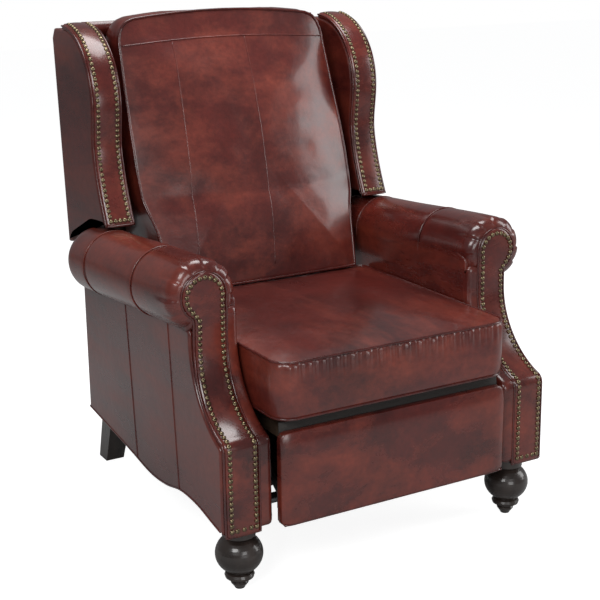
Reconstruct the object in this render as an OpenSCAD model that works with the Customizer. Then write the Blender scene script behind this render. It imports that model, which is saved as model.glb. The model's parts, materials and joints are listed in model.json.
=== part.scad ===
// Wing-back reclining armchair with rolled arms, nail-trimmed fronts and a fold-out footrest.
// Millimetres, +Z up, the sitter faces -Y. The origin is on the floor under the middle of the chair.
// "left" is the -X side, the viewer's left when looking at the chair's front.

/* [Overall size] */
// Width over the two arm rolls
chair_w = 870; // [780:5:1050]
// Depth from the footrest pad to the outside back
chair_d = 910; // [880:5:1100]
// Height of the back cushion's crown
chair_h = 1096; // [1000:5:1320]
// Height of the arm rolls at their front ends
arm_h = 665; // [640:5:700]
// Height of the seat cushion's top edge
seat_h = 482; // [460:2:520]

/* [Arms] */
// Radius of the arm rolls
roll_r = 75; // [62:1:90]
// How far the arm's front sweeps back between the knee and the scroll
sweep_d = 137; // [110:1:165]
// Height of the knee where the sweep starts
knee_z = 315; // [290:1:340]
// Slope of the arm rolls down to the rear
roll_drop = 3.9; // [2:0.1:5]

/* [Upholstery] */
// Thickness of the nailed facings
facing_t = 14; // [8:1:18]
// Distance between neighbouring nails
nail_pitch = 11.7; // [10:0.1:20]
// Radius of a nail's head
nail_r = 5; // [3:0.1:5.2]

/* [Footrest linkage] */
// Length of the rear links between their pivots
rear_link_l = 166; // [150:1:168]
// Thickness of the steel links
link_t = 4; // [3:0.1:4.4]
// Radius of the linkage pivot pins
pin_r = 4; // [3:0.1:5]

/* [Feet] */
// Greatest radius of the turned front feet
foot_r = 48.8; // [38:0.2:52]
// Height of the feet under the wooden base
foot_h = 145; // [130:1:160]

/* [Hidden] */
$fn = 64;

leather = "#5a1a17";
dark_wood = "#2a1c18";
raw_wood = "#b98d5c";
brass = "#8a7550";
steel = "#5d6166";
felt = "#33302e";

// Main planes of the chair
front_y = -chair_d / 2;
back_y = chair_d / 2;
facing_y = front_y + 15;
roll_x = chair_w / 2 - roll_r - 1;
roll_z = arm_h - roll_r;
side_x = roll_x + 36;
inside_x = roll_x - 74;
board_x = roll_x - 33;
board_t = 22;
arm_rear_y = back_y - 145;
side_rear_y = back_y - 125;
side_taper = 1.9;
clear = 0.3;

// Front sweep of the arm: a vertical stretch, a round knee, then a long arc up to the scroll
knee_r = 22;
sweep_start = 20;
sweep_r = (sweep_d - 4) / (1 - sin(sweep_start)) - knee_r;
knee_y = facing_y + 4;
sweep_top_z = knee_z + (knee_r + sweep_r) * cos(sweep_start);
function knee_point(a, r) = [knee_y + knee_r - r * sin(a), knee_z + r * cos(a)];
function arc_point(a, r) = [knee_y + (knee_r + sweep_r) * (1 - sin(sweep_start)) - sweep_r + r * sin(a),
    sweep_top_z - r * cos(a)];
function sweep_curve(back) = concat(
    [[facing_y + back, 0]],
    [for (a = [90:-10:sweep_start]) knee_point(a, knee_r - back)],
    [for (a = [sweep_start:7:90]) arc_point(a, sweep_r + back)],
    [[knee_y + sweep_d - 4 + back, arm_h + 40]]);

// Points at equal steps along a polyline
function seg(p, i) = norm(p[i + 1] - p[i]);
function run(p, i = 0, s = 0) = i >= len(p) - 1 ? [s] : concat([s], run(p, i + 1, s + seg(p, i)));
function on_path(p, s, d, i = 0) = i >= len(p) - 2 || d <= s[i + 1]
    ? p[i] + (p[i + 1] - p[i]) * (d - s[i]) / seg(p, i)
    : on_path(p, s, d, i + 1);
function even_points(p, pitch) = let (s = run(p), n = round(s[len(s) - 1] / pitch))
    [for (k = [0:n]) on_path(p, s, s[len(s) - 1] * k / n)];

module mirrored(side) {
    mirror([side < 0 ? 1 : 0, 0, 0]) children();
}

// A side profile given as [y, z] points, extruded from x0 to x1
module side_slab(x0, x1, points) {
    translate([x0, 0, 0]) rotate([90, 0, 90]) linear_extrude(x1 - x0) polygon(points);
}

module bar(a, b) {
    translate(a) cube(b - a);
}

module pin_x(x0, x1, at, r) {
    translate([x0, at[0], at[1]]) rotate([0, 90, 0]) cylinder(h = x1 - x0, r = r);
}

// ---- arms ----

// Side profile of the arm behind its sweeping front
module arm_profile(x0, x1, back, z0, z1, y1) {
    intersection() {
        side_slab(x0, x1, concat(sweep_curve(back), [[y1, arm_h + 40], [y1, 0]]));
        bar([x0 - 1, front_y, z0], [x1 + 1, y1, z1]);
    }
}

module arm_frame(side) {
    color(raw_wood) mirrored(side) {
        arm_profile(board_x, board_x + board_t, facing_t, foot_h, roll_z, arm_rear_y + 8);
        bar([inside_x + 15, facing_y + 35, foot_h], [board_x, arm_rear_y - 10, foot_h + 75]);
    }
}

module inside_arm(side) {
    color(leather) mirrored(side) difference() {
        union() {
            arm_profile(inside_x, board_x, facing_t, seat_h - 132, roll_z, arm_rear_y);
            intersection() {
                arm_profile(inside_x, board_x, facing_t, foot_h, seat_h - 131, arm_rear_y);
                union() {
                    bar([inside_x, front_y, foot_h], [board_x, facing_y + 34, seat_h - 131]);
                    bar([inside_x, front_y, foot_h + 76], [board_x, facing_y + 90, seat_h - 131]);
                }
            }
        }
        pin_x(inside_x - 1, board_x + 1, pivot, hinge_r);
    }
}

// Lower edge of the outside arm: a scallop behind the front foot, then a long shallow dip
side_hem = [[side_rear_y, foot_h + 21], [facing_y + 520, foot_h + 2], [facing_y + 390, foot_h - 10],
    [facing_y + 300, foot_h - 4], [facing_y + 220, foot_h + 13], [facing_y + 140, foot_h + 14],
    [facing_y + 70, foot_h + 4], [facing_y, foot_h - 6]];

module outside_arm(side) {
    color(leather) mirrored(side) translate([side_x, facing_y, 0]) rotate([0, 0, side_taper])
        translate([-side_x, -facing_y, 0]) intersection() {
            side_slab(side_x - 14, side_x, concat(sweep_curve(facing_t + 0.6),
                [[side_rear_y, arm_h + 40], [side_rear_y, 0]]));
            side_slab(side_x - 15, side_x + 1, concat([[front_y - 1, roll_z - 68],
                [arm_rear_y - 190, roll_z - 68], [side_rear_y, roll_z - 104]], side_hem,
                [[front_y - 1, foot_h - 6]]));
        }
}

module roll_solid(r) {
    translate([roll_x, facing_y + sweep_d, roll_z]) rotate([-roll_drop, 0, 0]) {
        translate([0, 15, 0]) rotate([-90, 0, 0]) cylinder(h = arm_rear_y - facing_y - sweep_d - r - 15, r = r);
        translate([0, arm_rear_y - facing_y - sweep_d - r, 0]) sphere(r);
    }
}

module arm_roll(side) {
    difference() {
        color(leather) mirrored(side) roll_solid(roll_r);
        arm_frame(side);
        inside_arm(side);
        outside_arm(side);
        bar([-chair_w, front_y, 0], [chair_w, facing_y + sweep_d + 32, arm_h + 30]);
    }
}

// Front outline of the nailed facing: a straight board that turns into a round scroll
facing_in = roll_x - 43;
facing_out = roll_x + 32;
scroll_r = roll_r - 26;
neck_z = roll_z - scroll_r + 4;
neck_shift = 9;

module facing_outline(grow = 0) {
    translate([roll_x, roll_z]) circle(scroll_r + grow);
    polygon([[facing_in - grow, foot_h - 10], [facing_out + grow, foot_h - 10],
        [facing_out + grow, knee_z], [facing_out - neck_shift + grow, neck_z],
        [facing_out - neck_shift + grow, neck_z + 8], [roll_x, roll_z],
        [facing_in - neck_shift / 2 - grow, roll_z], [facing_in - neck_shift / 2 - grow, neck_z],
        [facing_in - grow, knee_z]]);
}

module front_extrude(y0, y1) {
    translate([0, y1, 0]) rotate([90, 0, 0]) linear_extrude(y1 - y0) children();
}

module arm_facing(side) {
    curve_back = sweep_curve(facing_t);
    color(leather) mirrored(side) intersection() {
        front_extrude(front_y, facing_y + sweep_d + facing_t) facing_outline();
        side_slab(facing_in - 20, facing_out + 20,
            concat(sweep_curve(0), [for (i = [len(curve_back) - 1:-1:0]) curve_back[i]]));
    }
}

module arm_collar(side) {
    color(leather) mirrored(side) difference() {
        front_extrude(facing_y + sweep_d + 3, facing_y + sweep_d + 32) translate([roll_x, roll_z])
            circle(roll_r - 2);
        front_extrude(facing_y, facing_y + sweep_d + 34) facing_outline(clear);
        bar([inside_x - 5, facing_y, 0], [roll_x + 5, facing_y + sweep_d + 34, roll_z - 5]);
        arm_profile(board_x - 60, board_x + board_t, facing_t, 0, roll_z, arm_rear_y);
        translate([side_x, facing_y, 0]) rotate([0, 0, side_taper]) translate([-side_x, -facing_y, 0])
            bar([side_x - 14, facing_y, 0], [side_x, side_rear_y, roll_z - 68]);
    }
}

// Height on the sweep turned into depth, for placing nails
function sweep_y(z) = z < knee_z ? facing_y + (knee_y - facing_y) * z / knee_z
    : z < knee_z + knee_r * cos(sweep_start)
        ? knee_y + knee_r - sqrt(max(0, knee_r * knee_r - (z - knee_z) * (z - knee_z)))
    : z < sweep_top_z
        ? arc_point(0, 0)[0] + sqrt(max(0, sweep_r * sweep_r - (sweep_top_z - z) * (sweep_top_z - z)))
    : facing_y + sweep_d;

nail_in = 10;
nail_arc_r = scroll_r - nail_in;
nail_low = foot_h + 6;
function column(x_low, x_neck, z) = z < knee_z ? x_low : x_low + (x_neck - x_low) * (z - knee_z) / (neck_z - knee_z);
outer_low = facing_out - nail_in;
inner_low = facing_in + nail_in;
nail_outline = concat(
    [for (z = [nail_low:6:neck_z + 6]) [column(outer_low, outer_low - neck_shift, z), z]],
    [for (a = [-50:10:180]) [roll_x + nail_arc_r * cos(a), roll_z + nail_arc_r * sin(a)]],
    [for (z = [roll_z - 8:-6:nail_low]) [column(inner_low, inner_low - neck_shift / 2, min(z, neck_z)), z]]);
nail_route = [for (p = nail_outline) [p[0], sweep_y(p[1]), p[1]]];

module nail() {
    color(brass) cylinder(h = 2.6, r1 = nail_r, r2 = 3, $fn = 24);
}

function lean(z) = z < knee_z ? 0 : z < sweep_top_z ? 60 * (1 - (z - knee_z) / (sweep_top_z - knee_z)) : 0;

module arm_nails(side) {
    mirrored(side) {
        for (p = even_points(nail_route, nail_pitch))
            translate(p) rotate([90 - lean(p[2]), 0, 0]) translate([0, 0, 1]) nail();
        for (k = [1:3])
            translate([inner_low + (outer_low - inner_low) * k / 4, facing_y, nail_low])
                rotate([90, 0, 0]) translate([0, 0, 0.2]) nail();
    }
}

// ---- feet and base ----

module front_foot(side) {
    ball = [for (a = [-60:8:60]) [foot_r * cos(a), 77 + 44 * sin(a)]];
    color(dark_wood) translate([side * (roll_x - 19), facing_y + 55, 0]) difference() {
        rotate_extrude() polygon(concat([[0, 0], [10, 0], [12, 4], [18, 12], [18.5, 15], [16, 18],
            [22, 21], [29, 25], [30.5, 30], [28, 35], [foot_r / 2 - 1, 37]], ball,
            [[34, 117], [34, foot_h], [0, foot_h]]));
        translate([0, 0, foot_h - 40]) cylinder(h = 41, r = 4);
    }
}

module foot_bolts() {
    for (side = [-1, 1]) color(steel) translate([side * (roll_x - 19), facing_y + 55, foot_h - 40])
        cylinder(h = 40 - clear / 3, r = 4);
}

module rear_leg(side) {
    color(dark_wood) mirrored(side) hull() {
        bar([roll_x - 83, side_rear_y + 32, 0], [roll_x - 37, side_rear_y + 78, 1]);
        bar([roll_x - 88, side_rear_y - 26, foot_h - 1], [roll_x - 34, side_rear_y + 30, foot_h]);
    }
}

module rear_rail() {
    color(raw_wood) bar([-(inside_x + 15), side_rear_y - 40, foot_h], [inside_x + 15, side_rear_y, foot_h + 90]);
}

module front_stretcher() {
    color(raw_wood) bar([-(inside_x + 15), facing_y + 170, foot_h], [inside_x + 15, facing_y + 245, foot_h + 15]);
}

// Rear of the base, cut low in the middle where the back passes behind it
module rear_panel() {
    color(leather) difference() {
        bar([-(roll_x - 6), side_rear_y, foot_h], [roll_x - 6, side_rear_y + 14, roll_z - 106]);
        bar([-inside_x, side_rear_y - 1, roll_z - 230], [inside_x, side_rear_y + 15, arm_h]);
    }
}

module dust_cover() {
    color(felt) bar([-(inside_x + 20), facing_y + 246, foot_h - 2], [inside_x + 20, side_rear_y - 30, foot_h]);
}

// ---- seat ----

deck_z = seat_h - 130;
frame_top_z = deck_z - 12;
cushion_z = deck_z + 4;
seat_half = inside_x - 47;
seat_front_y = front_y + 32;
seat_rear_y = front_y + 600;

module slide_rail(side) {
    color(steel) mirrored(side) {
        bar([inside_x + 12, facing_y + 110, 180], [inside_x + 15, facing_y + 590, 240]);
        bar([inside_x - 15, facing_y + 110, 237], [inside_x + 12, facing_y + 590, 240]);
    }
}

module seat_glides() {
    for (side = [-1, 1], y = [facing_y + 240, facing_y + 520])
        color("white") mirrored(side) bar([plate_x + 3, y, 240 + clear], [inside_x, y + 40, 254]);
}

module seat_frame() {
    color(raw_wood) difference() {
        bar([-seat_half, seat_front_y, frame_top_z - 44], [seat_half, seat_rear_y, frame_top_z]);
        bar([60 - seat_half, seat_front_y + 60, 0], [seat_half - 60, seat_rear_y - 60, seat_h]);
    }
}

// A flat zigzag wire between two rails
module zigzag(length, sweep, waves, wire) {
    n = waves * 2;
    half = wire * n * sweep / length;
    linear_extrude(wire) polygon(concat(
        [for (i = [0:n]) [length * i / n, (i % 2 == 0 ? -1 : 1) * sweep - half]],
        [for (i = [n:-1:0]) [length * i / n, (i % 2 == 0 ? -1 : 1) * sweep + half]]));
}

module seat_springs() {
    for (k = [-2:2]) color(steel) translate([k * 75, seat_front_y + 30, frame_top_z]) rotate([0, 0, 90])
        zigzag(seat_rear_y - seat_front_y - 60, 22, 14, 3.5);
}

module seat_deck() {
    color(felt) bar([-seat_half, seat_front_y, frame_top_z + 3.5], [seat_half, seat_rear_y, deck_z + 4]);
}

// A plump cushion outline with rounded ends, seen from the side
module seat_cushion() {
    z0 = cushion_z;
    color(leather) intersection() {
        side_slab(-(inside_x - 4), inside_x - 4, concat(
            [for (a = [180:15:270]) [front_y + 17 + 16 * cos(a), z0 + 16 + 16 * sin(a)]],
            [[facing_y + 545, z0], [facing_y + 560, z0 + 20], [facing_y + 545, seat_h - 3]],
            [for (a = [90:15:180]) [front_y + 17 + 16 * cos(a), seat_h - 22 + 16 * sin(a)]]));
        linear_extrude(seat_h + 1) polygon(concat(
            [for (a = [0:15:90]) [inside_x - 26 + 22 * cos(-a), front_y + 23 + 22 * sin(-a)]],
            [for (a = [90:15:180]) [-(inside_x - 26) + 22 * cos(-a), front_y + 23 + 22 * sin(-a)]],
            [[-(inside_x - 4), back_y], [inside_x - 4, back_y]]));
    }
}

// ---- footrest linkage, seen from the side as [y, z] ----

rear_pivot = [front_y + 125, deck_z - 204];
control_pivot = rear_pivot + [0, 56];
rest_pivot = rear_pivot + [-88, 37];
rear_angle = 67;
middle_pivot = rear_pivot + rear_link_l * [cos(rear_angle), sin(rear_angle)];
front_dir = (rest_pivot - middle_pivot) / norm(rest_pivot - middle_pivot);
control_end = middle_pivot - 5.9 * front_dir - 24.1 * [-front_dir[1], front_dir[0]];
link_half = 10;
play = 0.06;
loose = 8;
plate_x = inside_x - 21;
control_x = plate_x - link_t - 1;
front_x = control_x - link_t - 1;
rear_x = front_x - link_t - 1;

module link(x, a, b, r_a, r_b) {
    d = b - a;
    difference() {
        translate([x, a[0], a[1]]) rotate([atan2(d[1], d[0]), 0, 0]) {
            bar([0, 0, -link_half], [link_t, norm(d), link_half]);
            rotate([0, 90, 0]) cylinder(h = link_t, r = link_half);
            translate([0, norm(d), 0]) rotate([0, 90, 0]) cylinder(h = link_t, r = link_half);
        }
        pin_x(x - 1, x + link_t + 1, a, r_a);
        pin_x(x - 1, x + link_t + 1, b, r_b);
    }
}

module rear_link(side) {
    color(steel) mirrored(side) link(rear_x, rear_pivot, middle_pivot, pin_r + play, pin_r);
}

module drive_tube() {
    color(steel) difference() {
        pin_x(-rear_x, rear_x, rear_pivot, 11);
        pin_x(-rear_x - 1, rear_x + 1, rear_pivot, 8);
    }
}

// A point of the front link, given along the link from the middle pivot and across it
front_across = [-front_dir[1], front_dir[0]];
function on_front(along, across) = middle_pivot + along * front_dir + across * front_across;
front_link_l = norm(rest_pivot - middle_pivot);
lug_r = pin_r + loose + 5;
front_outline = concat(
    [for (a = [90:-15:-90]) on_front(front_link_l + link_half * cos(a), link_half * sin(a))],
    [on_front(link_half, -link_half)],
    [for (a = [0:-15:-180]) control_end + lug_r * (cos(a) * front_dir + sin(a) * front_across)],
    [for (a = [180:-15:105]) on_front(link_half * cos(a), link_half * sin(a))]);

// The lug that takes the control link is loose round its pin, because this loop of links is open here
module front_link(side) {
    color(steel) mirrored(side) difference() {
        side_slab(front_x, front_x + link_t, front_outline);
        pin_x(front_x - 1, front_x + link_t + 1, middle_pivot, pin_r + play);
        pin_x(front_x - 1, front_x + link_t + 1, rest_pivot, pin_r + play);
        pin_x(front_x - 1, front_x + link_t + 1, control_end, pin_r + loose);
    }
}

module control_link(side) {
    color(steel) mirrored(side) link(control_x, control_pivot, control_end, pin_r + play, pin_r);
}

module middle_pins() {
    for (side = [-1, 1]) color(steel) mirrored(side)
        pin_x(rear_x, front_x + link_t + 0.5, middle_pivot, pin_r);
}

module control_pins() {
    for (side = [-1, 1]) color(steel) mirrored(side)
        pin_x(front_x, control_x + link_t, control_end, pin_r);
}

module footrest_pins() {
    for (side = [-1, 1]) color(steel) mirrored(side)
        pin_x(front_x, control_x + link_t, rest_pivot, pin_r);
}

// Steel side plate of the seat, with the studs that the links turn on
module seat_plate(side) {
    color(steel) mirrored(side) {
        side_slab(plate_x, plate_x + 3, [[rear_pivot[0] - 14, rear_pivot[1] - 14], [rear_pivot[0] + 14, rear_pivot[1] - 14],
            [facing_y + 210, 215], [seat_rear_y - 20, 215], [seat_rear_y - 20, frame_top_z - 44],
            [facing_y + 210, frame_top_z - 44], [rear_pivot[0] + 14, control_pivot[1] + 16],
            [rear_pivot[0] - 14, control_pivot[1] + 16]]);
        bar([seat_half - 25, facing_y + 210, frame_top_z - 47], [plate_x, seat_rear_y - 20, frame_top_z - 44]);
        pin_x(rear_x, plate_x, rear_pivot, pin_r);
        pin_x(control_x, plate_x, control_pivot, pin_r);
    }
}

footrest_half = inside_x - 10;
footrest_z0 = foot_h - 5;
footrest_z1 = deck_z - 18;

module footrest_board() {
    color(raw_wood) bar([-footrest_half + 4, front_y + 12, footrest_z0 + 4], [footrest_half - 4, front_y + 25, footrest_z1 - 4]);
}

module footrest_pad() {
    color(leather) side_slab(-footrest_half, footrest_half, concat(
        [[front_y + 12, footrest_z0]],
        [[front_y + 12, footrest_z1]],
        [for (a = [90:18:180]) [front_y + 10 + 10 * cos(a), footrest_z1 - 10 + 10 * sin(a)]],
        [for (a = [180:18:270]) [front_y + 10 + 10 * cos(a), footrest_z0 + 10 + 10 * sin(a)]]));
}

module footrest_bracket(side) {
    color(steel) mirrored(side) {
        difference() {
            bar([control_x, front_y + 25, rest_pivot[1] - 22], [control_x + link_t, front_y + 49, rest_pivot[1] + 22]);
            pin_x(control_x - 1, control_x + link_t + 1, rest_pivot, pin_r);
        }
        bar([control_x + link_t, front_y + 25, rest_pivot[1] - 30], [footrest_half - 5, front_y + 28, rest_pivot[1] + 30]);
    }
}

// ---- reclining back ----

pivot = [back_y - 205, deck_z + 98];
hinge_r = 8;
back_slope = 0.0773;
back_low_z = roll_z - 90;
back_hem_z = pivot[1] - 20;
back_top_z = chair_h - 56;
function rear_y(z) = back_y - 3 + (z - back_top_z) * back_slope;

module recline_pins() {
    for (side = [-1, 1]) color(steel) mirrored(side) pin_x(inside_x - 19, board_x, pivot, hinge_r);
}

module back_bracket(side) {
    color(steel) mirrored(side) difference() {
        side_slab(inside_x - 15, inside_x - 11, [[pivot[0] - 22, pivot[1] - 20], [pivot[0] + 30, pivot[1] - 26],
            [rear_y(pivot[1]) - 20, pivot[1] - 10], [rear_y(back_low_z) - 20, back_low_z + 60],
            [rear_y(back_low_z) - 46, back_low_z + 60], [pivot[0] - 22, pivot[1] + 24]]);
        pin_x(inside_x - 16, inside_x - 10, pivot, hinge_r + play);
    }
}

// Posts and rails of the back, leaning with its rear face
module back_bar(x0, x1, z0, z1) {
    side_slab(x0, x1, [[rear_y(z0) - 48, z0], [rear_y(z0) - 13, z0], [rear_y(z1) - 13, z1], [rear_y(z1) - 48, z1]]);
}

module back_frame() {
    post_x = inside_x - 15;
    color(raw_wood) {
        for (side = [-1, 1]) mirrored(side) back_bar(post_x - 35, post_x, back_low_z + 2, back_top_z - 2);
        for (z = [back_low_z + 2, back_top_z - 47]) back_bar(-post_x, post_x, z, z + 45);
    }
}

module back_springs() {
    z0 = back_low_z + 30;
    z1 = back_top_z - 20;
    for (k = [-2:2]) color(steel) translate([k * 75, rear_y(z0) - 48, z0])
        rotate([-atan(back_slope), 0, 0]) rotate([90, -90, 0]) zigzag(z1 - z0, 22, 14, 3.5);
}

module outside_back() {
    side_edge = roll_x + 6;
    shoulder_z = wing_low_z - 82;
    low_half = inside_x - 9;
    color(leather) {
        side_slab(-side_edge, side_edge, [[rear_y(shoulder_z) - 12, shoulder_z], [rear_y(shoulder_z), shoulder_z],
            [rear_y(back_top_z), back_top_z], [rear_y(back_top_z) - 12, back_top_z]]);
        side_slab(-low_half, low_half, [[rear_y(back_hem_z) - 12, back_hem_z], [rear_y(back_hem_z), back_hem_z],
            [rear_y(shoulder_z + 5), shoulder_z + 5], [rear_y(shoulder_z + 5) - 12, shoulder_z + 5]]);
    }
}

// Front edge of a wing: flared at the bottom, a slight bulge, then a quarter arc over the top
wing_r = 170;
wing_arc_y = rear_y(back_top_z) - 81;
wing_arc_z = chair_h - 21 - wing_r;
wing_low_z = arm_h - 20;
wing_waist_z = wing_low_z + (wing_arc_z - wing_low_z) * 0.64;
function wing_y(z) = wing_arc_y - wing_r + (z < wing_waist_z
    ? 8 - 54 * pow((wing_waist_z - z) / (wing_waist_z - wing_low_z), 1.5)
    : 8 - 8 * pow(sin(90 * (z - wing_waist_z) / (wing_arc_z - wing_waist_z)), 2));
function wing_curve(back, z0, a1 = 90) = concat(
    [for (k = [0:12]) let (z = z0 + (wing_arc_z - z0) * k / 12) [wing_y(z) + back, z]],
    [for (a = [9:9:a1]) [wing_arc_y - (wing_r - back) * cos(a), wing_arc_z + (wing_r - back) * sin(a)]]);
wing_in = roll_x - 54;
wing_out = roll_x + 13;

module wing(side) {
    seat_line = [[rear_y(wing_low_z) - 24, wing_low_z - 82], [rear_y(wing_low_z) - 50, wing_low_z - 57],
        [rear_y(wing_low_z) - 115, wing_low_z - 32], [arm_rear_y - 48, wing_low_z - 9], [arm_rear_y - 90, wing_low_z - 3]];
    color(leather) mirrored(side) side_slab(wing_in, wing_out, concat(wing_curve(facing_t, wing_low_z),
        [[rear_y(back_top_z) - 28, chair_h - 34], [rear_y(back_top_z) - 12.3, back_top_z],
            [rear_y(wing_low_z - 82) - 12.3, wing_low_z - 82]], seat_line));
}

module wing_facing(side) {
    outer = wing_curve(0, wing_low_z);
    inner = wing_curve(facing_t, wing_low_z);
    color(leather) mirrored(side) side_slab(wing_in + 3, wing_out - 2,
        concat(outer, [for (i = [len(inner) - 1:-1:0]) inner[i]]));
}

wing_route = wing_curve(0, wing_low_z + 11, 81);

module wing_nails(side) {
    mirrored(side) {
        for (x = [wing_in + 12, wing_out - 11], p = even_points(wing_route, nail_pitch))
            translate([x, p[0], p[1]]) rotate([90 - wing_tilt(p), 0, 0]) translate([0, 0, 0.5]) nail();
        for (k = [1:3])
            translate([wing_in + 12 + (wing_out - wing_in - 23) * k / 4, wing_route[0][0], wing_route[0][1]])
                rotate([90 - wing_tilt(wing_route[0]), 0, 0]) translate([0, 0, 0.5]) nail();
    }
}

// Tilt of a nail that stands square on the wing's front edge
function wing_tilt(p) = p[1] > wing_arc_z
    ? atan2(p[1] - wing_arc_z, wing_arc_y - p[0])
    : -atan((wing_y(p[1] + 1) - wing_y(p[1] - 1)) / 2) * (p[1] < wing_waist_z ? -1 : 1);

module back_top_pad() {
    color(leather) side_slab(-(wing_in - clear), wing_in - clear, [[rear_y(back_top_z) - 50, back_top_z + clear],
        [rear_y(back_top_z), back_top_z + clear], [rear_y(back_top_z) - 14, chair_h - 26], [rear_y(back_top_z) - 50, chair_h - 22]]);
}

// Loose back cushion: a leaning pad with a crowned front and rounded top corners
module back_cushion() {
    half = inside_x - 7;
    z0 = seat_h + 5;
    top = chair_h;
    lean_y = function(z) pivot[0] - 180 + (z - z0) * 0.41;
    depth = function(z) 40 * sin(180 * (z - z0 + 80) / (top - z0 + 160));
    color(leather) intersection() {
        side_slab(-half, half, concat(
            [for (k = [0:10]) let (z = z0 + (top - 40 - z0) * k / 10) [lean_y(z) - depth(z), z]],
            [[lean_y(top) - 12, top - 12], [lean_y(top) + 20, top], [rear_y(back_top_z) - 52, top - 12],
                [rear_y(back_top_z) - 57.3, back_top_z - 40], [rear_y(back_low_z + 90) - 60, back_low_z + 90],
                [pivot[0] - 60, z0 + 12]]));
        front_extrude(front_y, back_y) {
            translate([-half, 0]) square([2 * half, top - 60]);
            translate([-half + 60, top - 70]) square([2 * half - 120, 58]);
            for (x = [-1, 1]) translate([x * (half - 60), top - 72]) circle(60);
            translate([0, top - 640]) circle(640);
        }
    }
}

arm_frame(-1);  // arm_frame_left
arm_frame(1);  // arm_frame_right
inside_arm(-1);  // inside_arm_left
inside_arm(1);  // inside_arm_right
outside_arm(-1);  // outside_arm_left
outside_arm(1);  // outside_arm_right
arm_roll(-1);  // arm_roll_left
arm_roll(1);  // arm_roll_right
arm_facing(-1);  // arm_facing_left
arm_facing(1);  // arm_facing_right
arm_collar(-1);  // arm_collar_left
arm_collar(1);  // arm_collar_right
arm_nails(-1);  // arm_nails_left
arm_nails(1);  // arm_nails_right
front_foot(-1);  // front_foot_left
front_foot(1);  // front_foot_right
foot_bolts();
rear_leg(-1);  // rear_leg_left
rear_leg(1);  // rear_leg_right
rear_rail();
front_stretcher();
rear_panel();
dust_cover();
slide_rail(-1);  // slide_rail_left
slide_rail(1);  // slide_rail_right
recline_pins();
seat_frame();
seat_springs();
seat_deck();
seat_cushion();
seat_plate(-1);  // seat_plate_left
seat_plate(1);  // seat_plate_right
seat_glides();
rear_link(-1);  // rear_link_left
rear_link(1);  // rear_link_right
drive_tube();
front_link(-1);  // front_link_left
front_link(1);  // front_link_right
middle_pins();
control_link(-1);  // control_link_left
control_link(1);  // control_link_right
control_pins();
footrest_board();
footrest_pad();
footrest_bracket(-1);  // footrest_bracket_left
footrest_bracket(1);  // footrest_bracket_right
footrest_pins();
back_frame();
back_springs();
outside_back();
back_top_pad();
wing(-1);  // wing_left
wing(1);  // wing_right
wing_facing(-1);  // wing_facing_left
wing_facing(1);  // wing_facing_right
wing_nails(-1);  // wing_nails_left
wing_nails(1);  // wing_nails_right
back_cushion();
back_bracket(-1);  // back_bracket_left
back_bracket(1);  // back_bracket_right
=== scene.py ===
import json
import math

import bmesh
import bpy
import numpy as np
from mathutils import Matrix, Vector, noise


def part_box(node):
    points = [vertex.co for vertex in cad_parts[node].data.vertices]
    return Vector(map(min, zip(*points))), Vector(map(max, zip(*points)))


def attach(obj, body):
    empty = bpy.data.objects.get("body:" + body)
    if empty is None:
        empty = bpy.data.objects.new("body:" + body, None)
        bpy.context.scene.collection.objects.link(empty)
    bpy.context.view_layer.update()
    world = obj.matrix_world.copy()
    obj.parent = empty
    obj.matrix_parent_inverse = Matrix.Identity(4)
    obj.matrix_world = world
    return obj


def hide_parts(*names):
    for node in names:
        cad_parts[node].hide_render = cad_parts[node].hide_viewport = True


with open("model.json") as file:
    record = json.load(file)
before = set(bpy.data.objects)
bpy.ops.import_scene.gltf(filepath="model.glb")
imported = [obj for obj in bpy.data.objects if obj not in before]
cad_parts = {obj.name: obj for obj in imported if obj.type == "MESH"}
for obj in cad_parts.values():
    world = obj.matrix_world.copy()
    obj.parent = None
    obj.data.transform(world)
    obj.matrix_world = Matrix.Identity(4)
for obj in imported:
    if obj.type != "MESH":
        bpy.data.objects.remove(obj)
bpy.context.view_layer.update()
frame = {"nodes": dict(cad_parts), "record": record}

bl_info = {
    "name": "Wing-back recliner looks",
    "version": (1, 0, 0),
    "blender": (4, 5, 0),
    "location": "3D View > Sidebar > Recliner",
    "description": "Upholstery, nails, feet and finishes of a wing-back reclining armchair",
    "category": "Object",
}

# Main planes of the chair, in metres, read from the frame
FACING_LOW, FACING_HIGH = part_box("arm_facing_right")
FACING_Y = FACING_LOW.y
FACING_IN = FACING_LOW.x + 0.006
FACING_OUT = FACING_HIGH.x - 0.017
ROLL_R = 0.075
ROLL_X = 0.359
ROLL_Z = 0.590
SCROLL_R = 0.049
KNEE_Z = 0.315
KNEE_R = 0.022
SWEEP_R = 0.1801
SWEEP_D = 0.137
KNEE_Y = FACING_Y + 0.004
SWEEP_TOP = KNEE_Z + (KNEE_R + SWEEP_R) * math.cos(math.radians(20))
NECK_Z = 0.545
WING_ARC_Y = 0.371
WING_ARC_Z = 0.905
WING_R = 0.170
WING_LOW = 0.645
WING_WAIST = 0.8114
WING_IN = 0.305
WING_OUT = 0.372


def sizes():
    return bpy.context.scene.recliner_sizes


def colours():
    return bpy.context.scene.recliner_colours


# ---- shapes of the chair, as lines seen from the side ----

def sweep_y(z):
    """Depth of the arm's front edge at a height."""
    if z < KNEE_Z:
        return FACING_Y + (KNEE_Y - FACING_Y) * max(z, 0) / KNEE_Z
    if z < KNEE_Z + KNEE_R * math.cos(math.radians(20)):
        return KNEE_Y + KNEE_R - math.sqrt(max(0, KNEE_R ** 2 - (z - KNEE_Z) ** 2))
    if z < SWEEP_TOP:
        y0 = KNEE_Y + (KNEE_R + SWEEP_R) * (1 - math.sin(math.radians(20))) - SWEEP_R
        return y0 + math.sqrt(max(0, SWEEP_R ** 2 - (SWEEP_TOP - z) ** 2))
    return FACING_Y + SWEEP_D


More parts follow.
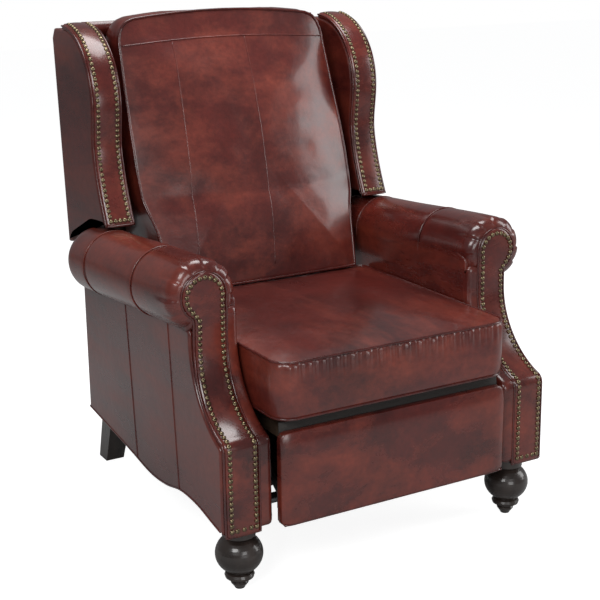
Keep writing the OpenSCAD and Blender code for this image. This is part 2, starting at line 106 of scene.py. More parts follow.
def sweep_line(z0, z1, step, back=0.0):
    """Points (y, z) at even steps up the arm's front, set back square to it."""
    fine = [(sweep_y(z), z) for z in np.linspace(z0, z1, 600)]
    line = resample(np.array(fine), step)
    n = side_normals(line)
    return line - n * back


def wing_y(z):
    if z < WING_WAIST:
        bulge = 0.008 - 0.054 * ((WING_WAIST - z) / (WING_WAIST - WING_LOW)) ** 1.5
    else:
        bulge = 0.008 - 0.008 * math.sin(math.pi / 2 * (z - WING_WAIST) / (WING_ARC_Z - WING_WAIST)) ** 2
    return WING_ARC_Y - WING_R + bulge


def wing_line(z0, end_angle, step, back=0.0):
    """Points (y, z) up the wing's front edge and over its top."""
    fine = [(wing_y(z), z) for z in np.linspace(z0, WING_ARC_Z, 200)]
    for a in np.linspace(0, end_angle, 100)[1:]:
        t = math.radians(a)
        fine.append((WING_ARC_Y - WING_R * math.cos(t), WING_ARC_Z + WING_R * math.sin(t)))
    line = resample(np.array(fine), step)
    return line - side_normals(line) * back


def resample(line, step):
    d = np.r_[0, np.cumsum(np.linalg.norm(np.diff(line, axis=0), axis=1))]
    n = max(2, int(round(d[-1] / step)) + 1)
    at = np.linspace(0, d[-1], n)
    return np.stack([np.interp(at, d, line[:, k]) for k in range(line.shape[1])], 1)


def side_normals(line):
    """Unit normals of an upward (y, z) line, pointing forward or up."""
    t = np.gradient(line, axis=0)
    t /= np.linalg.norm(t, axis=1)[:, None] + 1e-12
    return np.stack([-t[:, 1], t[:, 0]], 1)


def curve_through(points, step):
    """A smooth line through a few points, at even steps."""
    p = np.array(points, float)
    ext = np.vstack([2 * p[0] - p[1], p, 2 * p[-1] - p[-2]])
    out = []
    for i in range(1, len(ext) - 2):
        for t in np.linspace(0, 1, 24, endpoint=False):
            a, b, c, d = ext[i - 1], ext[i], ext[i + 1], ext[i + 2]
            out.append(0.5 * (2 * b + (c - a) * t + (2 * a - 5 * b + 4 * c - d) * t * t
                              + (3 * b - a - 3 * c + d) * t ** 3))
    out.append(p[-1])
    return resample(np.array(out), step)


def wobble(p, scale, seed):
    """Smooth value between -1 and 1 that is the same every time."""
    return noise.noise(Vector((p[0] * scale + seed, p[1] * scale - seed, p[2] * scale + 2 * seed)))


# ---- mesh helpers ----

def loft(rings, cap0=True, cap1=True, closed=True):
    """Faces between neighbouring rings of points, with the ends filled towards their middles."""
    n = len(rings[0])
    verts = [tuple(v) for ring in rings for v in ring]
    faces = []
    for i in range(len(rings) - 1):
        for j in range(n if closed else n - 1):
            k = (j + 1) % n
            faces.append((i * n + j, i * n + k, (i + 1) * n + k, (i + 1) * n + j))
    for want, first in ((cap0, 0), (cap1, (len(rings) - 1) * n)):
        if want:
            ring = verts[first:first + n]
            verts.append(tuple(np.mean(ring, axis=0)))
            mid = len(verts) - 1
            faces += [(first + j, first + (j + 1) % n, mid) for j in range(n)]
    return verts, faces


def tube(points, radius, sides=8, closed=False):
    """A round cord of leather along a line."""
    p = np.array(points, float)
    if closed:
        t = np.roll(p, -1, 0) - np.roll(p, 1, 0)
    else:
        t = np.gradient(p, axis=0)
    t /= np.linalg.norm(t, axis=1)[:, None] + 1e-12
    side = np.cross(t[0], (0.0, 0.0, 1.0))
    if np.linalg.norm(side) < 0.1:
        side = np.cross(t[0], (1.0, 0.0, 0.0))
    rings = []
    for q, d in zip(p, t):
        side = side - d * np.dot(side, d)
        side /= np.linalg.norm(side) + 1e-12
        up = np.cross(d, side)
        rings.append([q + radius * (math.cos(a) * side + math.sin(a) * up)
                      for a in np.linspace(0, 2 * math.pi, sides, endpoint=False)])
    if closed:
        rings.append(rings[0])
        verts, faces = loft(rings, False, False)
        n = len(rings[0])
        last = (len(rings) - 1) * n
        faces = [tuple(v - last if v >= last else v for v in f) for f in faces]
        return verts[:last], faces
    return loft(rings)


def join(parts):
    verts, faces = [], []
    for v, f in parts:
        base = len(verts)
        verts += list(v)
        faces += [tuple(i + base for i in face) for face in f]
    return verts, faces


def mirrored(shape, side):
    verts, faces = shape
    return [(v[0] * side, v[1], v[2]) for v in verts], faces


def piece(name, shape, finish, body, replaces=(), smooth=True):
    """A closed mesh with its faces outwards, riding on a body."""
    verts, faces = shape
    mesh = bpy.data.meshes.new(name)
    mesh.from_pydata([tuple(map(float, v)) for v in verts], [], faces)
    bm = bmesh.new()
    bm.from_mesh(mesh)
    bmesh.ops.recalc_face_normals(bm, faces=bm.faces)
    bm.to_mesh(mesh)
    bm.free()
    mesh.polygons.foreach_set("use_smooth", [smooth and len(p.vertices) < 5 for p in mesh.polygons])
    mesh.materials.append(bpy.data.materials[finish])
    obj = bpy.data.objects.new(name, mesh)
    bpy.context.scene.collection.objects.link(obj)
    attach(obj, body)
    if replaces:
        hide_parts(*replaces)
    return obj


def inset(line, d):
    """A closed 2D outline moved inwards."""
    nxt, prv = np.roll(line, -1, 0), np.roll(line, 1, 0)
    a = line - prv
    b = nxt - line
    a /= np.linalg.norm(a, axis=1)[:, None] + 1e-12
    b /= np.linalg.norm(b, axis=1)[:, None] + 1e-12
    area = 0.5 * np.sum(line[:, 0] * nxt[:, 1] - nxt[:, 0] * line[:, 1])
    s = 1 if area > 0 else -1
    n = np.stack([-(a + b)[:, 1], (a + b)[:, 0]], 1) * s
    n /= np.linalg.norm(n, axis=1)[:, None] + 1e-12
    cos = np.clip(np.sum(n * np.stack([-a[:, 1], a[:, 0]], 1) * s, 1), 0.5, 1)
    return line + n * (d / cos)[:, None]


def slab(outline, x0, x1, round_in, round_out, turn=None):
    """A padded board with rounded edges: an outline of (y, z) points between two x values."""
    line = resample(np.vstack([outline, outline[:1]]), 0.009)[:-1]
    rings = []
    for x, r, s in ((x0, round_in, 1), (x1, round_out, -1)):
        part = [(x, 1.3 * r)] + [
            (x + s * r * (1 - math.sin(a)), r * (1 - math.cos(a)))
            for a in np.radians((90, 60, 30, 0))]
        rings.append(part if s == 1 else part[::-1])
    out = []
    for x, d in rings[0] + rings[1]:
        ring = inset(line, d)
        out.append([(x, p[0], p[1]) for p in ring])
    n = len(line)
    verts, faces = loft(out, False, False)
    faces = list(faces)
    faces.append(tuple(range(n - 1, -1, -1)))
    faces.append(tuple(range((len(out) - 1) * n, len(out) * n)))
    if turn:
        verts = [turn(v) for v in verts]
    return verts, faces


# ---- finishes ----

def socket(tree, name, out, kind, value=None):
    s = tree.interface.new_socket(name=name, in_out="OUTPUT" if out else "INPUT", socket_type=kind)
    if value is not None:
        s.default_value = value
    return s


def add(tree, kind, **values):
    node = tree.nodes.new(kind)
    for key, value in values.items():
        if key.startswith("in_"):
            name = key[3:].replace("_", " ")
            node.inputs[int(name) if name.isdigit() else name].default_value = value
        else:
            setattr(node, key, value)
    return node


def leather_group():
    """Hand-rubbed leather: colour patches, brushed streaks, fine grain and soft creases."""
    g = bpy.data.node_groups.new("Rubbed leather", "ShaderNodeTree")
    socket(g, "Vector", False, "NodeSocketVector")
    socket(g, "Deep", False, "NodeSocketColor", (0.03, 0.004, 0.004, 1))
    socket(g, "Main", False, "NodeSocketColor", (0.12, 0.014, 0.01, 1))
    socket(g, "Warm", False, "NodeSocketColor", (0.26, 0.04, 0.018, 1))
    socket(g, "Patch size", False, "NodeSocketFloat", 6.0)
    socket(g, "Grain size", False, "NodeSocketFloat", 420.0)
    socket(g, "Gloss", False, "NodeSocketFloat", 0.28)
    socket(g, "Colour", True, "NodeSocketColor")
    socket(g, "Roughness", True, "NodeSocketFloat")
    socket(g, "Height", True, "NodeSocketFloat")
    link = g.links.new
    i = g.nodes.new("NodeGroupInput")
    o = g.nodes.new("NodeGroupOutput")
    patch = add(g, "ShaderNodeTexNoise", in_Detail=4.0, in_Roughness=0.55, in_Distortion=0.15)
    link(i.outputs["Vector"], patch.inputs["Vector"])
    link(i.outputs["Patch size"], patch.inputs["Scale"])
    deep = add(g, "ShaderNodeMapRange", in_From_Min=0.24, in_From_Max=0.64)
    link(patch.outputs["Fac"], deep.inputs["Value"])
    mix1 = add(g, "ShaderNodeMix", data_type="RGBA")
    link(deep.outputs["Result"], mix1.inputs["Factor"])
    link(i.outputs["Deep"], mix1.inputs[6])
    link(i.outputs["Main"], mix1.inputs[7])
    turn = add(g, "ShaderNodeMapping")
    turn.inputs["Rotation"].default_value = (0.5, 0.3, 0.9)
    turn.inputs["Scale"].default_value = (1.0, 0.35, 1.6)
    link(i.outputs["Vector"], turn.inputs["Vector"])
    rub = add(g, "ShaderNodeTexNoise", in_Scale=7.0, in_Detail=8.0, in_Roughness=0.66, in_Distortion=0.25)
    link(turn.outputs["Vector"], rub.inputs["Vector"])
    warm = add(g, "ShaderNodeMapRange", in_From_Min=0.44, in_From_Max=0.80)
    link(rub.outputs["Fac"], warm.inputs["Value"])
    mix2 = add(g, "ShaderNodeMix", data_type="RGBA")
    link(warm.outputs["Result"], mix2.inputs["Factor"])
    link(mix1.outputs[2], mix2.inputs[6])
    link(i.outputs["Warm"], mix2.inputs[7])
    fleck = add(g, "ShaderNodeTexNoise", in_Scale=90.0, in_Detail=4.0, in_Roughness=0.7)
    link(i.outputs["Vector"], fleck.inputs["Vector"])
    shade = add(g, "ShaderNodeMapRange", in_From_Min=0.3, in_From_Max=0.7, in_To_Min=0.80, in_To_Max=1.16)
    link(fleck.outputs["Fac"], shade.inputs["Value"])
    mix3 = add(g, "ShaderNodeMix", data_type="RGBA", blend_type="MULTIPLY", in_0=1.0)
    link(mix2.outputs[2], mix3.inputs[6])
    link(shade.outputs["Result"], mix3.inputs[7])
    link(mix3.outputs[2], o.inputs["Colour"])
    rough = add(g, "ShaderNodeMapRange", in_From_Min=0.3, in_From_Max=0.75, in_To_Min=-0.07, in_To_Max=0.10)
    link(rub.outputs["Fac"], rough.inputs["Value"])
    plus = add(g, "ShaderNodeMath", operation="ADD")
    link(rough.outputs["Result"], plus.inputs[0])
    link(i.outputs["Gloss"], plus.inputs[1])
    link(plus.outputs[0], o.inputs["Roughness"])
    grain = add(g, "ShaderNodeTexVoronoi")
    link(i.outputs["Vector"], grain.inputs["Vector"])
    link(i.outputs["Grain size"], grain.inputs["Scale"])
    crease = add(g, "ShaderNodeTexNoise", in_Scale=26.0, in_Detail=3.0, in_Roughness=0.55, in_Distortion=0.8)
    link(i.outputs["Vector"], crease.inputs["Vector"])
    g1 = add(g, "ShaderNodeMath", operation="MULTIPLY", in_1=0.10)
    link(grain.outputs["Distance"], g1.inputs[0])
    g2 = add(g, "ShaderNodeMath", operation="MULTIPLY", in_1=0.9)
    link(crease.outputs["Fac"], g2.inputs[0])
    g3 = add(g, "ShaderNodeMath", operation="ADD")
    link(g1.outputs[0], g3.inputs[0])
    link(g2.outputs[0], g3.inputs[1])
    link(g3.outputs[0], o.inputs["Height"])
    return g


def wear_group():
    """Cloudy wear for wood, metal and cloth: a mask and a small height."""
    g = bpy.data.node_groups.new("Cloudy wear", "ShaderNodeTree")
    socket(g, "Vector", False, "NodeSocketVector")
    socket(g, "Size", False, "NodeSocketFloat", 30.0)
    socket(g, "Stretch", False, "NodeSocketVector", (1, 1, 1))
    socket(g, "Mask", True, "NodeSocketFloat")
    link = g.links.new
    i = g.nodes.new("NodeGroupInput")
    o = g.nodes.new("NodeGroupOutput")
    scale = add(g, "ShaderNodeVectorMath", operation="MULTIPLY")
    link(i.outputs["Vector"], scale.inputs[0])
    link(i.outputs["Stretch"], scale.inputs[1])
    tex = add(g, "ShaderNodeTexNoise", in_Detail=5.0, in_Roughness=0.6)
    link(scale.outputs[0], tex.inputs["Vector"])
    link(i.outputs["Size"], tex.inputs["Scale"])
    sharp = add(g, "ShaderNodeMapRange", in_From_Min=0.35, in_From_Max=0.65)
    link(tex.outputs["Fac"], sharp.inputs["Value"])
    link(sharp.outputs["Result"], o.inputs["Mask"])
    return g


def new_material(name):
    m = bpy.data.materials.new(name)
    m.use_nodes = True
    tree = m.node_tree
    bsdf = tree.nodes["Principled BSDF"]
    coord = tree.nodes.new("ShaderNodeTexCoord")
    return m, tree, bsdf, coord


def leather_material(name, deep, main, warm, gloss, bump, patch=6.0):
    m, tree, bsdf, coord = new_material(name)
    grp = tree.nodes.new("ShaderNodeGroup")
    grp.node_tree = bpy.data.node_groups["Rubbed leather"]
    grp.inputs["Deep"].default_value = (*deep, 1)
    grp.inputs["Main"].default_value = (*main, 1)
    grp.inputs["Warm"].default_value = (*warm, 1)
    grp.inputs["Gloss"].default_value = gloss
    grp.inputs["Patch size"].default_value = patch
    link = tree.links.new
    link(coord.outputs["Object"], grp.inputs["Vector"])
    link(grp.outputs["Colour"], bsdf.inputs["Base Color"])
    link(grp.outputs["Roughness"], bsdf.inputs["Roughness"])
    b = add(tree, "ShaderNodeBump", in_Strength=bump, in_Distance=0.002)
    link(grp.outputs["Height"], b.inputs["Height"])
    link(b.outputs["Normal"], bsdf.inputs["Normal"])
    bsdf.inputs["Coat Weight"].default_value = 0.40
    bsdf.inputs["Coat Roughness"].default_value = 0.14
    bsdf.inputs["Specular IOR Level"].default_value = 0.5
    return m


def worn_material(name, dark, pale, size, stretch, rough, metal, bump, coat=0.0):
    m, tree, bsdf, coord = new_material(name)
    grp = tree.nodes.new("ShaderNodeGroup")
    grp.node_tree = bpy.data.node_groups["Cloudy wear"]
    grp.inputs["Size"].default_value = size
    grp.inputs["Stretch"].default_value = stretch
    link = tree.links.new
    link(coord.outputs["Object"], grp.inputs["Vector"])
    mix = add(tree, "ShaderNodeMix", data_type="RGBA")
    link(grp.outputs["Mask"], mix.inputs["Factor"])
    mix.inputs[6].default_value = (*dark, 1)
    mix.inputs[7].default_value = (*pale, 1)
    link(mix.outputs[2], bsdf.inputs["Base Color"])
    r = add(tree, "ShaderNodeMapRange", in_To_Min=rough - 0.06, in_To_Max=rough + 0.08)
    link(grp.outputs["Mask"], r.inputs["Value"])
    link(r.outputs["Result"], bsdf.inputs["Roughness"])
    b = add(tree, "ShaderNodeBump", in_Strength=bump, in_Distance=0.001)
    link(grp.outputs["Mask"], b.inputs["Height"])
    link(b.outputs["Normal"], bsdf.inputs["Normal"])
    bsdf.inputs["Metallic"].default_value = metal
    bsdf.inputs["Coat Weight"].default_value = coat
    return m


class ReclinerSizes(bpy.types.PropertyGroup):
    welt_r: bpy.props.FloatProperty(name="Welt radius", description="Radius of the leather welts",
                                    default=0.0024, min=0.001, max=0.005, unit="LENGTH")
    nail_r: bpy.props.FloatProperty(name="Nail head radius", description="Radius of a domed nail head",
                                    default=0.0052, min=0.002, max=0.007, unit="LENGTH")
    nail_pitch: bpy.props.FloatProperty(name="Nail pitch", description="Distance between nails",
                                        default=0.0117, min=0.01, max=0.03, unit="LENGTH")
    seam_r: bpy.props.FloatProperty(name="Seam radius", description="Radius of a raised seam",
                                    default=0.0016, min=0.0005, max=0.004, unit="LENGTH")
    seat_crown: bpy.props.FloatProperty(name="Seat crown", description="Height of the seat cushion's crown",
                                        default=0.016, min=0.0, max=0.03, unit="LENGTH")
    back_crown: bpy.props.FloatProperty(name="Back crown", description="Fullness of the back cushion",
                                        default=0.042, min=0.0, max=0.06, unit="LENGTH")
    pleat_depth: bpy.props.FloatProperty(name="Pleat depth", description="Depth of the scroll pleats",
                                         default=0.0058, min=0.0, max=0.008, unit="LENGTH")


class ReclinerColours(bpy.types.PropertyGroup):
    deep: bpy.props.FloatVectorProperty(name="Deep leather", description="Darkest leather colour", size=3,
                                        subtype="COLOR", default=(0.030, 0.0050, 0.0046), min=0, max=1)
    main: bpy.props.FloatVectorProperty(name="Main leather", description="Main leather colour", size=3,
                                        subtype="COLOR", default=(0.105, 0.0145, 0.0108), min=0, max=1)
    warm: bpy.props.FloatVectorProperty(name="Rubbed leather", description="Colour where the leather is rubbed",
                                        size=3, subtype="COLOR", default=(0.235, 0.038, 0.019), min=0, max=1)
    wood: bpy.props.FloatVectorProperty(name="Feet", description="Stain of the turned feet", size=3,
                                        subtype="COLOR", default=(0.016, 0.011, 0.009), min=0, max=1)
    nails: bpy.props.FloatVectorProperty(name="Nails", description="Antique nail finish", size=3,
                                         subtype="COLOR", default=(0.30, 0.235, 0.14), min=0, max=1)


class RECLINER_OT_finishes(bpy.types.Operator):
    """Build the finishes and give one to every working part of the frame"""
    bl_idname = "recliner.finishes"
    bl_label = "Finishes"

    def execute(self, context):
        c = colours()
        leather_group()
        wear_group()
        leather_material("Leather", c.deep, c.main, c.warm, 0.27, 0.22)
        leather_material("Leather side", c.deep, c.main, [v * 0.8 for v in c.warm], 0.30, 0.25, 4.0)
        leather_material("Leather cushion", c.deep, c.main, c.warm, 0.34, 0.38, 5.0)
        leather_material("Leather welt", [v * 0.9 for v in c.deep], [v * 0.8 for v in c.main], c.main, 0.24, 0.1, 12.0)
        worn_material("Dark wood", c.wood, [v * 2.2 for v in c.wood], 9.0, (3, 3, 0.4), 0.30, 0.0, 0.06, 0.4)
        # Raw wood: both colours are darkened far below the wood's own tone, as painted shade for the gaps where the
        # frame shows
        worn_material("Raw wood", (0.050, 0.028, 0.018), (0.085, 0.050, 0.030), 8.0, (1, 9, 9), 0.62, 0.0, 0.15)
        worn_material("Nail metal", [v * 0.35 for v in c.nails], c.nails, 160.0, (1, 1, 1), 0.30, 1.0, 0.05)
        worn_material("Steel", (0.10, 0.105, 0.11), (0.22, 0.225, 0.23), 60.0, (1, 1, 1), 0.38, 1.0, 0.05)
        worn_material("Felt", (0.025, 0.022, 0.020), (0.045, 0.040, 0.037), 500.0, (1, 1, 1), 0.9, 0.0, 0.4)
        kinds = {"leather": "Leather", "dark_wood": "Dark wood", "raw_wood": "Raw wood", "brass_nails": "Nail metal",
                 "steel": "Steel", "felt": "Felt", "nylon": "Felt"}
        slots = {m["slot"]: m for m in frame["record"]["materials"]}
        for slot, row in slots.items():
            for node in row.get("nodes", []):
                obj = frame["nodes"][node]
                obj.data.materials.clear()
                obj.data.materials.append(bpy.data.materials[kinds[slot]])
        for name, obj in frame["nodes"].items():
            if not obj.data.materials or obj.data.materials[0].name not in kinds.values():
                guess = ("Dark wood" if "foot_l" in name or "foot_r" in name or "leg" in name else
                         "Raw wood" if "frame" in name or "board" in name or "rail" in name or "stretcher" in name else
                         "Nail metal" if "nails" in name else "Felt" if "deck" in name or "dust" in name else
                         "Leather" if any(k in name for k in ("arm", "cushion", "wing", "panel", "pad", "outside")) else
                         "Steel")
                obj.data.materials.clear()
                obj.data.materials.append(bpy.data.materials[guess])
        return {"FINISHED"}


# ---- arms ----

def roll_centre(y):
    """Height of the roll's axis: it drops slightly to the rear."""
    return ROLL_Z - math.tan(math.radians(3.9)) * max(0.0, y - (FACING_Y + SWEEP_D))


def roll_ring(y, r, pleat, n=120):
    ring = []
    cz = roll_centre(y)
    for k in range(n):
        a = 2 * math.pi * k / n
        full = 0.0016 * wobble((math.cos(a), math.sin(a), y * 4), 1.3, 3.0) if r > 0.06 else 0.0
        fold = 0.0
        if pleat:
            u = (math.degrees(a) % 360) / 30.0
            fold = -pleat * (1 - (u % 1.0)) ** 2.2
        rr = r + full + fold
        ring.append((ROLL_X + rr * math.cos(a), y, cz + rr * math.sin(a)))
    return ring


class RECLINER_OT_arm_rolls(bpy.types.Operator):
    """Padded arm rolls with their pleated fronts and raised seams"""
    bl_idname = "recliner.arm_rolls"
    bl_label = "Arm rolls"

    def execute(self, context):
        front = FACING_Y + SWEEP_D + 0.004
        rear = 0.310
        depth = sizes().pleat_depth
        rings = []
        for k in range(0, 10):
            f = k / 9 * math.pi / 2
            r = 0.050 + (ROLL_R - 0.050) * math.sin(f)
            rings.append(roll_ring(front + 0.026 * (1 - math.cos(f)), r, depth * math.sin(f) ** 0.5 * (1 - 0.25 * k / 9)))
        for y in np.linspace(front + 0.032, front + 0.075, 6):
            fade = max(0.0, 1 - (y - front - 0.026) / 0.05)
            rings.append(roll_ring(y, ROLL_R, depth * 0.75 * fade ** 1.5))
        seams = (-0.108, 0.154)
        ys = sorted(set(list(np.linspace(front + 0.085, rear - ROLL_R, 44)) + [s + d for s in seams for d in (-.004, 0, .004)]))
        for y in ys:
            dip = sum(0.0012 * math.exp(-((y - s) / 0.006) ** 2) for s in seams)
            rings.append(roll_ring(y, ROLL_R - dip, 0))
        for k in range(1, 12):
            f = k / 12 * math.pi / 2
            rings.append(roll_ring(rear - ROLL_R + ROLL_R * math.sin(f), ROLL_R * math.cos(f), 0))
        for side, word in ((-1, "left"), (1, "right")):
            parts = [loft(rings)]
            for s in seams:
                line = [(ROLL_X + (ROLL_R + 0.0002) * math.cos(a), s, roll_centre(s) + (ROLL_R + 0.0002) * math.sin(a))
                        for a in np.linspace(0, 2 * math.pi, 64, endpoint=False)]
                parts.append(tube(line, sizes().seam_r, 6, True))
            piece(f"arm_roll_cover_{word}", mirrored(join(parts), side), "Leather", "base",
                  (f"arm_roll_{word}", f"arm_collar_{word}"))
        return {"FINISHED"}


def taper(v):
    """The outside arm leans in towards the rear."""
    a = math.radians(1.9)
    dx, dy = v[0] - 0.395, v[1] - FACING_Y
    return (0.395 + dx * math.cos(a) - dy * math.sin(a), FACING_Y + dx * math.sin(a) + dy * math.cos(a), v[2])


SIDE_HEM = ((-0.440, 0.139), (-0.370, 0.149), (-0.300, 0.159), (-0.220, 0.158), (-0.140, 0.141),
            (-0.050, 0.135), (0.080, 0.147), (0.330, 0.166))


class RECLINER_OT_arm_panels(bpy.types.Operator):
    """Outside arms with seams and hem, inside arms and their rounded front edges"""
    bl_idname = "recliner.arm_panels"
    bl_label = "Arm panels"

    def execute(self, context):
        hem = curve_through(SIDE_HEM, 0.01)
        front = sweep_line(0.141, 0.522, 0.008, 0.0146)
        hem = hem[hem[:, 0] > front[0][0] + 0.004]
        outer = np.vstack([front, [(-0.25, 0.522), (0.120, 0.522), (0.330, 0.486)], hem[::-1]])
        inner = np.vstack([sweep_line(0.352, 0.575, 0.008, 0.016), [(-0.25, 0.590), (0.300, 0.560), (0.310, 0.540),
                                                                  (0.310, 0.352)]])
        strip = np.vstack([sweep_line(0.1465, 0.560, 0.006, 0.0035),
                           [(-0.225, 0.560), (-0.232, 0.470), (-0.280, 0.380), (-0.350, 0.290), (-0.380, 0.147)]])
        for side, word in ((-1, "left"), (1, "right")):
            parts = [slab(outer, 0.3815, 0.395, 0.003, 0.005, taper)]
            for top, low in (((-0.180, 0.521), (-0.212, 0.158)), ((0.060, 0.521), (0.022, 0.142))):
                line = [taper((0.3952, top[0] + (low[0] - top[0]) * t, top[1] + (low[1] - top[1]) * t))
                        for t in np.linspace(0, 1, 30)]
                parts.append(tube(line, sizes().seam_r, 6))
            hem_line = [taper((0.394, p[0], p[1] + 0.001)) for p in hem]
            parts.append(tube(hem_line, sizes().welt_r, 8))
            piece(f"outside_arm_cover_{word}", mirrored(join(parts), side), "Leather side", "base",
                  (f"outside_arm_{word}",))
            piece(f"inside_arm_cover_{word}", mirrored(slab(inner, 0.2842, 0.326, 0.004, 0.004), side), "Leather",
                  "base", (f"inside_arm_{word}",))
            piece(f"arm_front_edge_{word}", mirrored(slab(strip, 0.2850, 0.3168, 0.0125, 0.002), side), "Leather",
                  "base")
        return {"FINISHED"}


def facing_row(z):
    """The facing's inner and outer x at a height."""
    if z <= NECK_Z:
        t = min(1.0, max(0.0, (z - KNEE_Z) / (NECK_Z - KNEE_Z)))
        t = t * t * (3 - 2 * t)
        x_in, x_out = FACING_IN - 0.0045 * t, FACING_OUT - 0.009 * t
    else:
        x_in, x_out = FACING_IN - 0.0045, FACING_OUT - 0.009
    h = z - ROLL_Z
    if abs(h) < SCROLL_R:
        w = math.sqrt(SCROLL_R ** 2 - h * h)
        if z > ROLL_Z:
            return ROLL_X - w, ROLL_X + w
        return min(x_in, ROLL_X - w), max(x_out, ROLL_X + w)
    return x_in, x_out


def facing_levels():
    z = [p[1] for p in sweep_line(0.1375, ROLL_Z, 0.006)]
    z += [ROLL_Z + SCROLL_R * math.sin(a) for a in np.linspace(0, math.pi / 2, 16)[1:-1]]
    return z


class RECLINER_OT_arm_facings(bpy.types.Operator):
    """Nailed facings that sweep up the arm fronts into round scrolls, with welts"""
    bl_idname = "recliner.arm_facings"
    bl_label = "Arm facings"

    def execute(self, context):
        across = 13
        levels = facing_levels()
        line = np.array([(sweep_y(z), z) for z in levels])
        normals = side_normals(line)
        rings = []
        for (y, z), n in zip(line, normals):
            x_in, x_out = facing_row(z)
            ring = []
            for k in range(across):
                t = k / (across - 1)
                edge = min(t, 1 - t) * (x_out - x_in)
                fall = 0.0035 * (1 - min(1, edge / 0.005)) ** 2
                crown = 0.0022 * math.sin(math.pi * t) - fall - 0.0015
                ring.append((x_in + (x_out - x_in) * t, y + n[0] * crown, z + n[1] * crown))
            for k in range(across):
                t = 1 - k / (across - 1)
                ring.append((x_in + (x_out - x_in) * t, y - n[0] * 0.0135, z - n[1] * 0.0135))
            rings.append(ring)
        outline = []
        for (y, z), n in zip(line, normals):
            outline.append((facing_row(z)[0] - 0.0006, y - n[0] * 0.004, z - n[1] * 0.004))
        top = [(ROLL_X, line[-1][0] + 0.004, ROLL_Z + SCROLL_R + 0.0006)]
        right = []
        for (y, z), n in zip(line, normals):
            right.append((facing_row(z)[1] + 0.0006, y - n[0] * 0.004, z - n[1] * 0.004))
        loop = np.array(outline + top + right[::-1])
        loop = np.vstack([loop, loop[:1]])
        loop = resample(loop, 0.006)[:-1]
        for side, word in ((-1, "left"), (1, "right")):
            piece(f"arm_facing_cover_{word}", mirrored(loft(rings), side), "Leather", "base",
                  (f"arm_facing_{word}",))
            piece(f"arm_facing_welt_{word}", mirrored(tube(loop, sizes().welt_r, 8, True), side), "Leather welt",
                  "base")
        return {"FINISHED"}


# ---- wings and back ----

class RECLINER_OT_wings(bpy.types.Operator):
    """Wings: padded sides, crowned nailed bands over the front and top, and welts"""
    bl_idname = "recliner.wings"
    bl_label = "Wings"

    def execute(self, context):
        body = wing_line(WING_LOW, 88, 0.008, 0.0135)
        rear = [(0.424, 1.062), (0.4395, 1.040), (0.405, 0.563)]
        seat = curve_through([(0.397, 0.563), (0.371, 0.588), (0.306, 0.613), (0.262, 0.636), (0.220, 0.642),
                              (wing_y(WING_LOW) + 0.014, WING_LOW)], 0.008)
        outline = np.vstack([body, rear, seat[:-1]])
        band = wing_line(WING_LOW - 0.001, 90, 0.007)
        n = side_normals(band)
        x_in, x_out = WING_IN + 0.0015, WING_OUT - 0.0005
        rings = []
        for (y, z), m in zip(band, n):
            ring = []
            for k in range(13):
                t = k / 12
                edge = min(t, 1 - t) * (x_out - x_in)
                crown = 0.0034 * math.sin(math.pi * t) ** 0.8 - 0.004 * (1 - min(1, edge / 0.006)) ** 2 - 0.0024
                ring.append((x_in + (x_out - x_in) * t, y + m[0] * crown, z + m[1] * crown))
            for k in range(13):
                t = 1 - k / 12
                ring.append((x_in + (x_out - x_in) * t, y - m[0] * 0.0132, z - m[1] * 0.0132))
            rings.append(ring)
        welts = []
        for x in (x_in - 0.0004, x_out + 0.0004):
            welts.append(tube([(x, y - m[0] * 0.0055, z - m[1] * 0.0055) for (y, z), m in zip(band, n)],
                              sizes().welt_r, 8))
        low = [(x_in + (x_out - x_in) * t, band[0][0] - 0.001 + 0.004 * abs(2 * t - 1) ** 4, band[0][1] - 0.0005)
               for t in np.linspace(0, 1, 14)]
        welts.append(tube(low, sizes().welt_r, 8))
        for side, word in ((-1, "left"), (1, "right")):
            piece(f"wing_cover_{word}", mirrored(slab(outline, WING_IN + 0.001, WING_OUT, 0.006, 0.005), side),
                  "Leather side", "back", (f"wing_{word}",))
            piece(f"wing_band_{word}", mirrored(loft(rings), side), "Leather", "back",
                  (f"wing_facing_{word}",))
            piece(f"wing_welts_{word}", mirrored(join(welts), side), "Leather welt", "back")
        return {"FINISHED"}


def rear_y(z):
    return 0.452 + (z - 1.040) * 0.0773


